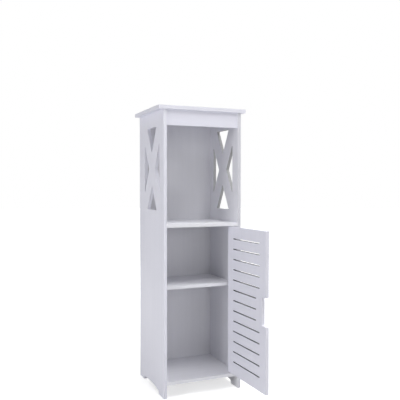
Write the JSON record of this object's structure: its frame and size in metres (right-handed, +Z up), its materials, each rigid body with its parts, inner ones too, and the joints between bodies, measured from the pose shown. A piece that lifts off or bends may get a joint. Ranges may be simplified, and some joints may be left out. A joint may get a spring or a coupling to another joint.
{
  "type": "bathroom cabinet",
  "caption": "Narrow freestanding bathroom cabinet: open niche with X-lattice sides above a cupboard with a slotted pin-hung door, standing open.",
  "frame": {"origin": "on the floor, under the middle of the outline of the cabinet with its door open at about 92 degrees; that is on the cabinet's left-right centre plane, 14.5 mm behind the side panels' front edges", "axes": "+Z up, the front faces -Y, +X is the hinge side (the viewer's right when facing the front)"},
  "size_m": [0.263, 0.411, 0.8],
  "materials": {
    "white_board": "satin white foamed board with a fine wood-grain emboss",
    "back_board": "satin white foamed board with a fine wood-grain emboss",
    "door_board": "satin white foamed board with a fine wood-grain emboss",
    "nylon": "moulded, slightly translucent",
    "steel": "zinc plated",
    "magnet": "nickel plated",
    "beech": "turned, fluted dowel"
  },
  "bodies": {
    "carcass": {"side_panel_left": "white_board", "side_panel_right": "white_board", "top_board": "white_board", "front_apron": "white_board", "back_panel": "back_board", "upper_shelf": "white_board", "middle_shelf": "white_board", "bottom_board": "white_board", "upper_pivot_bush": "nylon", "lower_pivot_bush": "nylon", "door_stop_pins": "nylon", "catch_magnet": "magnet", "top_board_dowels": "beech", "apron_dowels": "beech", "upper_shelf_dowels": "beech", "middle_shelf_dowels": "beech", "bottom_board_dowels": "beech"},
    "door": {"door": "door_board", "upper_pivot_pin": "steel", "lower_pivot_pin": "steel", "catch_disc": "steel"}
  },
  "joints": [
    {"name": "door_hinge", "type": "hinge", "parent": "carcass", "child": "door", "pos_m": [0.0898, -0.00997, 0.2565], "axis": [0, 0, 1], "range_deg": [-91.6, 43.4]}
  ]
}
